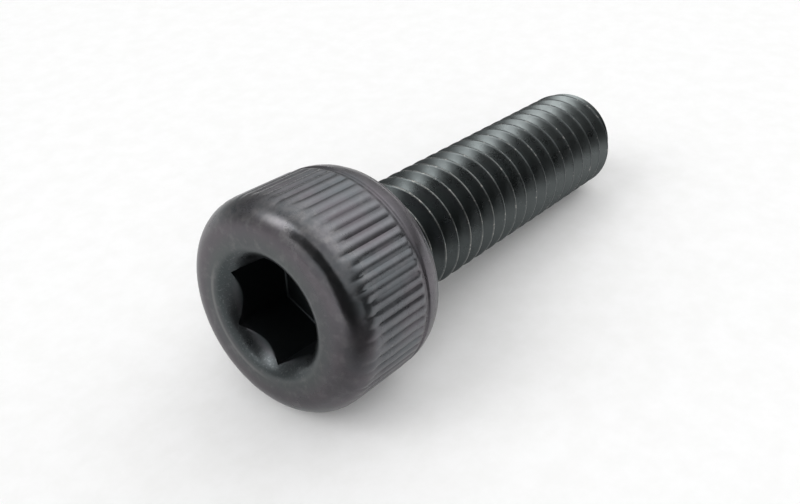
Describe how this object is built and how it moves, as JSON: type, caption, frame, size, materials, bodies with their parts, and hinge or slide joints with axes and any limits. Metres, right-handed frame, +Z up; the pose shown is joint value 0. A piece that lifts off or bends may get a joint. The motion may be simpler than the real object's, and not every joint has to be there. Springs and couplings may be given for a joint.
{
  "type": "socket head cap screw",
  "caption": "Black socket head cap screw with a knurled cylindrical head, a hexagon socket and a fully threaded shank, lying at rest.",
  "frame": {"origin": "centre of the bounding box's underside, on the surface the screw lies on", "axes": "+X along the screw's length towards the tip, which dips 5.8 degrees below X to touch the surface; +Z up; +Y to the left seen from the head"},
  "size_m": [0.0184, 0.0068, 0.007],
  "materials": {
    "black_oxide_steel": "black oxide, satin"
  },
  "bodies": {
    "root": {"cap_screw": "black_oxide_steel"}
  },
  "joints": []
}
